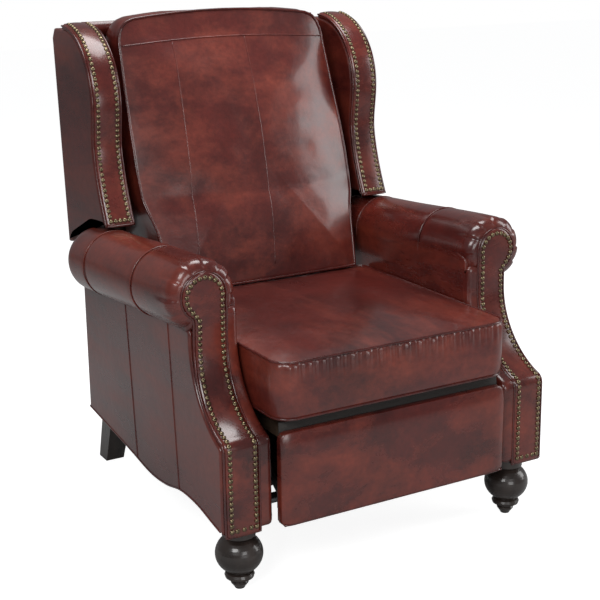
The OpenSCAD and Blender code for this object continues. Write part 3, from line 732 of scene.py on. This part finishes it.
class RECLINER_OT_back_shell(bpy.types.Operator):
    """Outside back panel with its welt, and the padded top rail"""
    bl_idname = "recliner.back_shell"
    bl_label = "Back shell"

    def execute(self, context):
        rings = []
        edge = []
        for z in list(np.linspace(0.430, 0.556, 12)) + [0.560, 0.564, 0.568] + list(np.linspace(0.580, 1.036, 40)):
            w = 0.276 + 0.089 * min(1.0, max(0.0, (z - 0.556) / 0.012))
            ring = [(x, rear_y(z) - 0.012, z) for x in np.linspace(w, -w, 30)]
            for x in np.linspace(-w, w, 41):
                side = max(0.0, (abs(x) - w + 0.008) / 0.008)
                end = max(0.0, (z - 1.028) / 0.008, (0.438 - z) / 0.008)
                fall = 0.004 * max(side, end) ** 2
                ring.append((x, rear_y(z) - fall + 0.0008 * wobble((x, 0, z), 7, 4.4) * (1 - max(side, end)), z))
            rings.append(ring)
            edge.append((w, z))
        loop = np.array(edge + [(-w, z) for w, z in edge[::-1]] + edge[:1])
        loop = resample(loop, 0.01)[:-1]
        parts = [loft(rings), tube([(p[0], rear_y(p[1]) - 0.003, p[1]) for p in inset(loop, 0.002)],
                                   sizes().welt_r, 8, True)]
        piece("outside_back_cover", join(parts), "Leather side", "back", ("outside_back",))
        rings = []
        for x in np.linspace(-0.3045, 0.3045, 40):
            sag = 0.0015 * wobble((x, 0, 1), 9, 5)
            ring = []
            for y, z in ((rear_y(1.04) - 0.050, 1.0405), (rear_y(1.04) - 0.001, 1.0405), (rear_y(1.04) - 0.001, 1.050),
                         (rear_y(1.04) - 0.006, 1.062 + sag), (rear_y(1.04) - 0.014, 1.0695 + sag),
                         (rear_y(1.04) - 0.030, 1.073 + sag), (rear_y(1.04) - 0.050, 1.0735 + sag)):
                ring.append((x, y, z))
            rings.append(ring)
        piece("back_top_cover", loft(rings), "Leather", "back", ("back_top_pad",))
        return {"FINISHED"}


BACK_EDGE = ((0.490, 0.093, 0.240), (0.560, 0.118, 0.248), (0.625, 0.145, 0.257), (0.659, 0.160, 0.268),
             (0.690, 0.178, 0.275), (0.757, 0.200, 0.277), (0.854, 0.233, 0.275), (0.928, 0.260, 0.272),
             (1.011, 0.288, 0.268), (1.046, 0.299, 0.266), (1.100, 0.310, 0.262))


def back_edge_y(z):
    rows = np.array(BACK_EDGE)
    return float(np.interp(z, rows[:, 0], rows[:, 1]))


def back_half(z):
    rows = np.array(BACK_EDGE)
    return float(np.interp(z, rows[:, 0], rows[:, 2]))


def back_outline(step=0.008):
    """Front outline of the back cushion as (x, z): bowed sides, rounded shoulders and a crowned top."""
    side = [(back_half(z), z) for z in np.linspace(0.489, 1.030, 40)]
    top = [(0.264, 1.046), (0.258, 1.062), (0.246, 1.075), (0.226, 1.0825), (0.18, 1.0875), (0.12, 1.0925),
           (0.06, 1.0955), (0.0, 1.0965)]
    half = np.array(side + top)
    other = half[::-1][1:] * (-1, 1)
    loop = np.vstack([half, other])
    low = np.array([(x, 0.489 - 0.002 * math.cos(x / 0.24 * math.pi / 2)) for x in np.linspace(-0.236, 0.236, 30)])
    loop = np.vstack([loop, low, loop[:1]])
    return resample(loop, step)[:-1]


def back_front_y(x, z, s):
    crown = sizes().back_crown * (0.55 + 0.45 * math.sin(math.pi * min(1, max(0, (z - 0.45) / 0.62))))
    return back_edge_y(z) - crown * (1 - s ** 2.6)


class RECLINER_OT_back_cushion(bpy.types.Operator):
    """Loose back cushion: crowned front, top seam, two long seams, side boxing and welts"""
    bl_idname = "recliner.back_cushion"
    bl_label = "Back cushion"

    def execute(self, context):
        line = back_outline()
        middle = np.array((0.0, 0.80))
        rings = []
        for s in list(np.linspace(0.02, 0.90, 34)) + [0.94, 0.97, 0.985, 1.0]:
            ring = []
            for p in line:
                q = middle + (p - middle) * s
                y = back_front_y(q[0], q[1], s)
                pucker = 0.0022 * wobble((q[0], 0, q[1]), 18, 1.5) + 0.0022 * wobble((q[0], 1, q[1]), 6, 2.5)
                ring.append((q[0], y + pucker * (1 - s ** 6), q[1]))
            rings.append(ring)
        for k, (t, d) in enumerate(((0.06, 0.002), (0.25, -0.003), (0.5, -0.005), (0.75, -0.003), (0.94, 0.002), (1.0, 0.010))):
            ring = []
            moved = inset(line, d)
            for p, q in zip(line, moved):
                z = min(q[1], 1.0945)
                back = rear_y(z) - 0.0585 - (0.0 if z < 1.0 else 0.02 * (z - 1.0) / 0.09)
                front = back_edge_y(p[1])
                ring.append((q[0], front + (max(back, front + 0.03) - front) * t, max(z, 0.4885)))
            rings.append(ring)
        body = loft(rings)
        welt = [(p[0] * 1.001, back_edge_y(p[1]) - 0.0005, p[1]) for p in line]
        seams = []
        top = []
        for x in np.linspace(-0.262, 0.262, 70):
            z = 1.024 + 0.012 * (1 - (x / 0.262) ** 2)
            top.append((x, self.surface(x, z, line, middle) - 0.0002, z))
        seams.append(tube(top, sizes().seam_r, 6))
        for x0, z0, x1, z1 in ((-0.140, 1.030, -0.175, 0.53), (0.048, 1.035, 0.020, 0.52)):
            pts = []
            for t in np.linspace(0, 1, 60):
                x, z = x0 + (x1 - x0) * t, z0 + (z1 - z0) * t
                pts.append((x, self.surface(x, z, line, middle) + 0.0004, z))
            seams.append(tube(pts, sizes().seam_r * 0.8, 6))
        cushion = piece("back_cushion_cover", join([body] + seams), "Leather cushion", "back",
                        ("back_cushion",))
        piece("back_cushion_welt", tube(welt, sizes().welt_r * 1.25, 8, True), "Leather welt", "back")
        return {"FINISHED"}

    def surface(self, x, z, line, middle):
        """Depth of the cushion's front at a place."""
        d = np.array((x, z)) - middle
        ang = math.atan2(d[1], d[0])
        angs = np.arctan2(line[:, 1] - middle[1], line[:, 0] - middle[0])
        k = int(np.argmin(np.abs(np.angle(np.exp(1j * (angs - ang))))))
        s = min(1.0, np.linalg.norm(d) / (np.linalg.norm(line[k] - middle) + 1e-9))
        pucker = 0.0022 * wobble((x, 0, z), 18, 1.5) + 0.0022 * wobble((x, 1, z), 6, 2.5)
        return back_front_y(x, z, s) + pucker * (1 - s ** 6)


# ---- seat and footrest ----

def seat_outline(half, y0, y1, corner, step=0.008):
    pts = []
    for cx, cy, a0 in ((half - corner, y0 + corner, -90), (half - 0.02, y1 - 0.02, 0), (-half + 0.02, y1 - 0.02, 90),
                       (-half + corner, y0 + corner, 180)):
        r = corner if cy < 0 else 0.02
        for a in np.radians(np.linspace(a0, a0 + 90, 10)):
            pts.append((cx + r * math.cos(a), cy + r * math.sin(a)))
    loop = np.array(pts + pts[:1])
    return resample(loop, step)[:-1]


class RECLINER_OT_seat_cushion(bpy.types.Operator):
    """Seat cushion: crowned top, gathered front boxing and two welts"""
    bl_idname = "recliner.seat_cushion"
    bl_label = "Seat cushion"

    def execute(self, context):
        low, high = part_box("seat_cushion")
        z0, z1 = low.z + 0.001, 0.4775
        line = seat_outline(0.2785, low.y + 0.006, high.y - 0.004, 0.040, 0.004)
        mid = np.array((0.0, (low.y + high.y) / 2))
        rings = []
        for s in list(np.linspace(0.02, 0.9, 16)) + [0.95, 0.98, 1.0]:
            rings.append([(*(mid + (p - mid) * s), z0 + 0.004 * s ** 8) for p in line])
        for t in np.linspace(0, 1, 15)[1:-1]:
            ring = []
            n = inset(line, 1.0) - line
            for p, m in zip(line, n):
                front = max(0.0, min(1.0, (-p[1] - 0.36) / 0.06))
                bulge = 0.0045 * math.sin(math.pi * t) ** 0.6 * front - 0.001 * (1 - front)
                under = max(0.0, (t - 0.58) / 0.42)
                gather = 0.0048 * under * front * (wobble((p[0], 0, 0), 42, 4.2) + 0.5 * math.sin(p[0] * 390 + 3 * wobble((p[0], 0, 0), 8, 1)))
                q = p - m / np.linalg.norm(m) * (bulge + gather)
                ring.append((q[0], q[1], z0 + 0.004 + (z1 - z0 - 0.004) * t))
            rings.append(ring)
        for s in [1.0, 0.985, 0.965, 0.93] + list(np.linspace(0.9, 0.02, 40)):
            ring = []
            for p in line:
                q = mid + (p - mid) * s
                crown = sizes().seat_crown * (1 - s ** 3.2)
                pull = 0.0012 * max(0, s - 0.72) / 0.28 * (1 - s) * 8 * wobble((p[0], p[1], 0), 38, 2.2)
                soft = 0.0026 * wobble((q[0], q[1], 0), 10, 6.1) * (1 - s ** 4)
                ring.append((q[0], q[1], z1 + crown + pull + soft))
            rings.append(ring)
        cushion = piece("seat_cushion_cover", loft(rings), "Leather cushion", "seat", ("seat_cushion",))
        out = [(p[0], p[1]) for p in line]
        welts = [tube([(x, y, z1) for x, y in out], sizes().welt_r * 1.15, 8, True),
                 tube([(x, y, z0 + 0.0045) for x, y in out], sizes().welt_r * 1.15, 8, True)]
        piece("seat_cushion_welts", join(welts), "Leather welt", "seat")
        # A thin near-black sheet in the felt finish below the seat cushion's front: painted shade standing in for the
        # dark gap under the cushion
        shade_sheet_ends = []
        for x in (-0.268, 0.268):
            shade_sheet_ends.append([(x, -0.4232, 0.312), (x, -0.4268, 0.312), (x, -0.4275, 0.335), (x, -0.4262, 0.350),
                         (x, -0.4232, 0.352)])
        rings = [[tuple(np.array(a) + (np.array(b) - np.array(a)) * t) for a, b in zip(*shade_sheet_ends)]
                 for t in np.linspace(0, 1, 24)]
        piece("seat_front_painted_shade_sheet", loft(rings), "Felt", "seat")
        return {"FINISHED"}


class RECLINER_OT_footrest(bpy.types.Operator):
    """Padded footrest front with a rounded top edge and a welt along the bottom"""
    bl_idname = "recliner.footrest"
    bl_label = "Footrest"

    def execute(self, context):
        low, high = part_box("footrest_pad")
        loop = []
        for cx, cz, a0 in ((high.x - 0.010, low.z + 0.010, -90), (high.x - 0.014, high.z - 0.014, 0),
                           (low.x + 0.014, high.z - 0.014, 90), (low.x + 0.010, low.z + 0.010, 180)):
            r = 0.014 if cz > 0.25 else 0.010
            loop += [(cx + r * math.cos(a), cz + r * math.sin(a)) for a in np.radians(np.linspace(a0, a0 + 90, 8))]
        line = resample(np.array(loop + loop[:1]), 0.008)[:-1]
        mid = np.array((0.0, (low.z + high.z) / 2))
        y0, y1 = low.y, high.y
        rings = []
        for s in list(np.linspace(0.02, 0.86, 14)) + [0.90, 0.94, 0.965, 0.985, 1.0]:
            ring = []
            for p in line:
                q = mid + (p - mid) * s
                top = max(0.0, (q[1] - (high.z - 0.05)) / 0.05)
                side = max(0.0, (abs(q[0]) - (high.x - 0.03)) / 0.03)
                foot = max(0.0, ((low.z + 0.02) - q[1]) / 0.02)
                y = y0 + 0.0015 + 0.0075 * top ** 2.4 + 0.006 * side ** 2.5 + 0.002 * foot ** 2
                ring.append((q[0], y + 0.0009 * wobble((q[0], 0, q[1]), 10, 3.3) * (1 - s ** 4), q[1]))
            rings.append(ring)
        y1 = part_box("footrest_board")[1].y + 0.0008
        for t in (0.4, 0.9, 1.0):
            rings.append([(p[0], y0 + 0.009 + (y1 - y0 - 0.009) * t, p[1]) for p in line])
        inner = [mid + (p - mid) * 0.5 for p in line]
        rings.append([(q[0], y1, q[1]) for q in inner])
        pad = piece("footrest_cover", loft(rings), "Leather", "footrest", ("footrest_pad",))
        welt = [(x, y0 + 0.005, low.z + 0.003) for x in np.linspace(low.x + 0.004, high.x - 0.004, 60)]
        piece("footrest_welt", tube(welt, sizes().welt_r, 8), "Leather welt", "footrest")
        return {"FINISHED"}


# ---- nails ----

def nail_tree():
    """Places domed nail heads at even steps along lines, square to the leather."""
    g = bpy.data.node_groups.new("Nail rows", "GeometryNodeTree")
    g.interface.new_socket(name="Lines", in_out="INPUT", socket_type="NodeSocketGeometry")
    socket(g, "Pitch", False, "NodeSocketFloat", 0.0117)
    socket(g, "Head radius", False, "NodeSocketFloat", 0.005)
    socket(g, "Head height", False, "NodeSocketFloat", 0.0026)
    socket(g, "Seed", False, "NodeSocketInt", 7)
    g.interface.new_socket(name="Finish", in_out="INPUT", socket_type="NodeSocketMaterial")
    g.interface.new_socket(name="Nails", in_out="OUTPUT", socket_type="NodeSocketGeometry")
    link = g.links.new
    i = g.nodes.new("NodeGroupInput")
    o = g.nodes.new("NodeGroupOutput")
    curve = g.nodes.new("GeometryNodeMeshToCurve")
    even = g.nodes.new("GeometryNodeResampleCurve")
    even.mode = "LENGTH"
    link(i.outputs["Lines"], curve.inputs["Mesh"])
    link(curve.outputs["Curve"], even.inputs["Curve"])
    link(i.outputs["Pitch"], even.inputs["Length"])
    ball = g.nodes.new("GeometryNodeMeshUVSphere")
    ball.inputs["Segments"].default_value = 12
    ball.inputs["Rings"].default_value = 6
    link(i.outputs["Head radius"], ball.inputs["Radius"])
    ratio = g.nodes.new("ShaderNodeMath")
    ratio.operation = "DIVIDE"
    link(i.outputs["Head height"], ratio.inputs[0])
    link(i.outputs["Head radius"], ratio.inputs[1])
    flat = g.nodes.new("ShaderNodeCombineXYZ")
    flat.inputs[0].default_value = 1.0
    flat.inputs[1].default_value = 1.0
    link(ratio.outputs[0], flat.inputs[2])
    squash = g.nodes.new("GeometryNodeTransform")
    link(ball.outputs["Mesh"], squash.inputs["Geometry"])
    link(flat.outputs[0], squash.inputs["Scale"])
    square = g.nodes.new("GeometryNodeInputNamedAttribute")
    square.data_type = "FLOAT_VECTOR"
    square.inputs["Name"].default_value = "square_to"
    align = g.nodes.new("FunctionNodeAlignRotationToVector")
    align.axis = "Z"
    link(square.outputs["Attribute"], align.inputs["Vector"])
    vary = g.nodes.new("FunctionNodeRandomValue")
    vary.data_type = "FLOAT"
    vary.inputs[2].default_value = 0.93
    vary.inputs[3].default_value = 1.04
    link(i.outputs["Seed"], vary.inputs["Seed"])
    inst = g.nodes.new("GeometryNodeInstanceOnPoints")
    link(even.outputs["Curve"], inst.inputs["Points"])
    link(squash.outputs["Geometry"], inst.inputs["Instance"])
    link(align.outputs["Rotation"], inst.inputs["Rotation"])
    link(vary.outputs[1], inst.inputs["Scale"])
    real = g.nodes.new("GeometryNodeRealizeInstances")
    link(inst.outputs["Instances"], real.inputs["Geometry"])
    smooth = g.nodes.new("GeometryNodeSetShadeSmooth")
    link(real.outputs["Geometry"], smooth.inputs["Geometry"])
    mat = g.nodes.new("GeometryNodeSetMaterial")
    link(smooth.outputs["Geometry"], mat.inputs["Geometry"])
    link(i.outputs["Finish"], mat.inputs["Material"])
    link(mat.outputs["Geometry"], o.inputs["Nails"])
    return g


def nail_rows(name, lines, body, replaces):
    """lines: a list of (points, normals)."""
    verts, edges, normals = [], [], []
    for pts, nrm in lines:
        base = len(verts)
        verts += [tuple(map(float, p)) for p in pts]
        normals += [tuple(map(float, n)) for n in nrm]
        edges += [(base + k, base + k + 1) for k in range(len(pts) - 1)]
    mesh = bpy.data.meshes.new(name + "_lines")
    mesh.from_pydata(verts, edges, [])
    attr = mesh.attributes.new("square_to", "FLOAT_VECTOR", "POINT")
    attr.data.foreach_set("vector", [c for n in normals for c in n])
    guide = bpy.data.objects.new(name + "_lines", mesh)
    bpy.context.scene.collection.objects.link(guide)
    tree = bpy.data.node_groups.get("Nail rows") or nail_tree()
    mod = guide.modifiers.new("Nail rows", "NODES")
    mod.node_group = tree
    ids = {s.name: s.identifier for s in tree.interface.items_tree if s.in_out == "INPUT"}
    mod[ids["Pitch"]] = sizes().nail_pitch
    mod[ids["Head radius"]] = sizes().nail_r
    mod[ids["Head height"]] = sizes().nail_r * 0.55
    mod[ids["Seed"]] = 7
    mod[ids["Finish"]] = bpy.data.materials["Nail metal"]
    deps = bpy.context.evaluated_depsgraph_get()
    made = bpy.data.meshes.new_from_object(guide.evaluated_get(deps))
    bpy.data.objects.remove(guide)
    if len(made.vertices) < 100:
        raise RuntimeError("the nail rows came out empty")
    made.name = name
    obj = bpy.data.objects.new(name, made)
    bpy.context.scene.collection.objects.link(obj)
    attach(obj, body)
    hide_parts(*replaces)
    return obj


class RECLINER_OT_nails(bpy.types.Operator):
    """Rows of domed antique nails on the arm facings and the wing bands"""
    bl_idname = "recliner.nails"
    bl_label = "Nails"

    def execute(self, context):
        gap = 0.0102
        for side, word in ((-1, "left"), (1, "right")):
            z_low = 0.151
            line = sweep_line(z_low, NECK_Z + 0.004, 0.003)
            n = side_normals(line)
            up_out = [(facing_row(z)[1] - gap, y, z) for y, z in line]
            up_in = [(facing_row(z)[0] + gap, y, z) for y, z in line]
            r = SCROLL_R - gap
            arc = [(ROLL_X + r * math.cos(a), FACING_Y + SWEEP_D, ROLL_Z + r * math.sin(a))
                   for a in np.radians(np.linspace(-38, 192, 90))]
            pts = up_out + arc + up_in[::-1]
            nrm = [(0, a, b) for a, b in n] + [(0, -1, 0)] * len(arc) + [(0, a, b) for a, b in n[::-1]]
            row = [(up_in[0][0] + (up_out[0][0] - up_in[0][0]) * t, line[0][0], z_low) for t in (0.22, 0.5, 0.78)]
            spread = [((x - 0.0001, y, z), (x + 0.0001, y, z)) for x, y, z in row]
            lines = [(pts, nrm)] + [(s, [(0, -1, 0)] * 2) for s in spread]
            lines = [([(p[0] * side, p[1] + 0.0005 * m[1], p[2] + 0.0005 * m[2]) for p, m in zip(ps, ns)], ns)
                     for ps, ns in lines]
            nail_rows(f"arm_nail_heads_{word}", lines, "base", (f"arm_nails_{word}",))
            line = wing_line(WING_LOW + 0.009, 84, 0.003)
            n = side_normals(line)
            lines = []
            for x in (WING_IN + 0.0118, WING_OUT - 0.0105):
                lines.append(([(x * side, y, z) for y, z in line], [(0, a, b) for a, b in n]))
            y, z = line[0]
            for t in (0.25, 0.5, 0.75):
                x = (WING_IN + 0.0118 + (WING_OUT - WING_IN - 0.0223) * t) * side
                lines.append(([(x - 0.0001, y + n[0][0] * 0.001, z), (x + 0.0001, y + n[0][0] * 0.001, z)],
                              [(0, n[0][0], n[0][1])] * 2))
            nail_rows(f"wing_nail_heads_{word}", lines, "back", (f"wing_nails_{word}",))
        return {"FINISHED"}


# ---- stage ----

class RECLINER_OT_stage(bpy.types.Operator):
    """White floor, soft lamps and the camera"""
    bl_idname = "recliner.stage"
    bl_label = "Stage"

    def execute(self, context):
        scene = context.scene
        scene.view_settings.view_transform = "Standard"
        mesh = bpy.data.meshes.new("floor")
        mesh.from_pydata([(-12, -12, 0), (12, -12, 0), (12, 12, 0), (-12, 12, 0)], [], [(0, 1, 2, 3)])
        floor = bpy.data.objects.new("floor", mesh)
        scene.collection.objects.link(floor)
        m = bpy.data.materials.new("Floor")
        m.use_nodes = True
        tree = m.node_tree
        tree.nodes.clear()
        out = tree.nodes.new("ShaderNodeOutputMaterial")
        diff = add(tree, "ShaderNodeBsdfDiffuse")
        diff.inputs["Color"].default_value = (0.50, 0.50, 0.50, 1)
        clear = tree.nodes.new("ShaderNodeEmission")
        clear.inputs["Color"].default_value = (1, 1, 1, 1)
        clear.inputs["Strength"].default_value = 0.88
        both = tree.nodes.new("ShaderNodeAddShader")
        tree.links.new(diff.outputs[0], both.inputs[0])
        path = tree.nodes.new("ShaderNodeLightPath")
        pick = tree.nodes.new("ShaderNodeMixShader")
        tree.links.new(path.outputs["Is Camera Ray"], pick.inputs["Fac"])
        tree.links.new(clear.outputs[0], both.inputs[1])
        tree.links.new(diff.outputs[0], pick.inputs[1])
        tree.links.new(both.outputs[0], pick.inputs[2])
        tree.links.new(pick.outputs[0], out.inputs["Surface"])
        mesh.materials.append(m)
        world = bpy.data.worlds.new("Studio")
        scene.world = world
        world.use_nodes = True
        tree = world.node_tree
        tree.nodes.clear()
        out = tree.nodes.new("ShaderNodeOutputWorld")
        dim = tree.nodes.new("ShaderNodeBackground")
        dim.inputs["Color"].default_value = (0.95, 0.97, 1.0, 1)
        dim.inputs["Strength"].default_value = 0.22
        white = tree.nodes.new("ShaderNodeBackground")
        white.inputs["Color"].default_value = (1, 1, 1, 1)
        white.inputs["Strength"].default_value = 1.0
        path = tree.nodes.new("ShaderNodeLightPath")
        pick = tree.nodes.new("ShaderNodeMixShader")
        tree.links.new(path.outputs["Is Camera Ray"], pick.inputs["Fac"])
        tree.links.new(dim.outputs[0], pick.inputs[1])
        tree.links.new(white.outputs[0], pick.inputs[2])
        tree.links.new(pick.outputs[0], out.inputs["Surface"])
        for name, at, aim, size, power in (
                ("key lamp", (-2.6, -2.2, 2.6), (0, 0, 0.6), (1.6, 1.2), 60),
                ("right lamp", (2.9, -1.2, 1.5), (0, 0, 0.5), (1.2, 2.0), 34),
                ("top lamp", (0.2, 0.3, 3.0), (0, 0, 0.7), (1.6, 1.2), 48),
                ("front lamp", (-0.4, -3.4, 1.0), (0, 0, 0.45), (1.4, 0.9), 20)):
            data = bpy.data.lights.new(name, "AREA")
            data.shape = "RECTANGLE"
            data.size, data.size_y = size
            data.energy = power
            lamp = bpy.data.objects.new(name, data)
            lamp.location = at
            lamp.rotation_euler = (Vector(aim) - Vector(at)).to_track_quat("-Z", "Y").to_euler()
            scene.collection.objects.link(lamp)
        cam = bpy.data.cameras.new("camera")
        cam.lens = 78.0
        cam.sensor_width = 36.0
        obj = bpy.data.objects.new("camera", cam)
        yaw, pitch, roll = (math.radians(a) for a in (30.262, 15.864, -0.469))
        ahead = Vector((math.sin(yaw) * math.cos(pitch), math.cos(yaw) * math.cos(pitch), -math.sin(pitch)))
        right = Vector((math.cos(yaw), -math.sin(yaw), 0))
        up = right.cross(ahead)
        r = right * math.cos(roll) + up * math.sin(roll)
        u = -right * math.sin(roll) + up * math.cos(roll)
        obj.matrix_world = Matrix.Translation((-1.424, -2.493, 1.273)) @ Matrix((r, u, -ahead)).transposed().to_4x4()
        scene.collection.objects.link(obj)
        scene.camera = obj
        return {"FINISHED"}


class RECLINER_PT_panel(bpy.types.Panel):
    """Sizes, colours and the steps that make the chair"""
    bl_idname = "RECLINER_PT_panel"
    bl_label = "Recliner"
    bl_space_type = "VIEW_3D"
    bl_region_type = "UI"
    bl_category = "Recliner"

    def draw(self, context):
        for group in (context.scene.recliner_sizes, context.scene.recliner_colours):
            for key in group.__annotations__:
                self.layout.prop(group, key)
        for op in STEPS:
            self.layout.operator(op.bl_idname)


STEPS = (RECLINER_OT_finishes, RECLINER_OT_arm_rolls, RECLINER_OT_arm_panels, RECLINER_OT_arm_facings,
         RECLINER_OT_wings, RECLINER_OT_back_shell, RECLINER_OT_back_cushion, RECLINER_OT_seat_cushion,
         RECLINER_OT_footrest, RECLINER_OT_nails, RECLINER_OT_stage)
CLASSES = (ReclinerSizes, ReclinerColours) + STEPS + (RECLINER_PT_panel,)


def register():
    for cls in CLASSES:
        bpy.utils.register_class(cls)
    bpy.types.Scene.recliner_sizes = bpy.props.PointerProperty(type=ReclinerSizes)
    bpy.types.Scene.recliner_colours = bpy.props.PointerProperty(type=ReclinerColours)


def unregister():
    del bpy.types.Scene.recliner_colours
    del bpy.types.Scene.recliner_sizes
    for cls in reversed(CLASSES):
        bpy.utils.unregister_class(cls)


def main():
    register()
    for step in STEPS:
        group, name = step.bl_idname.split(".")
        getattr(getattr(bpy.ops, group), name)()
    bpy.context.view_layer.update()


if __name__ == "__main__":
    main()
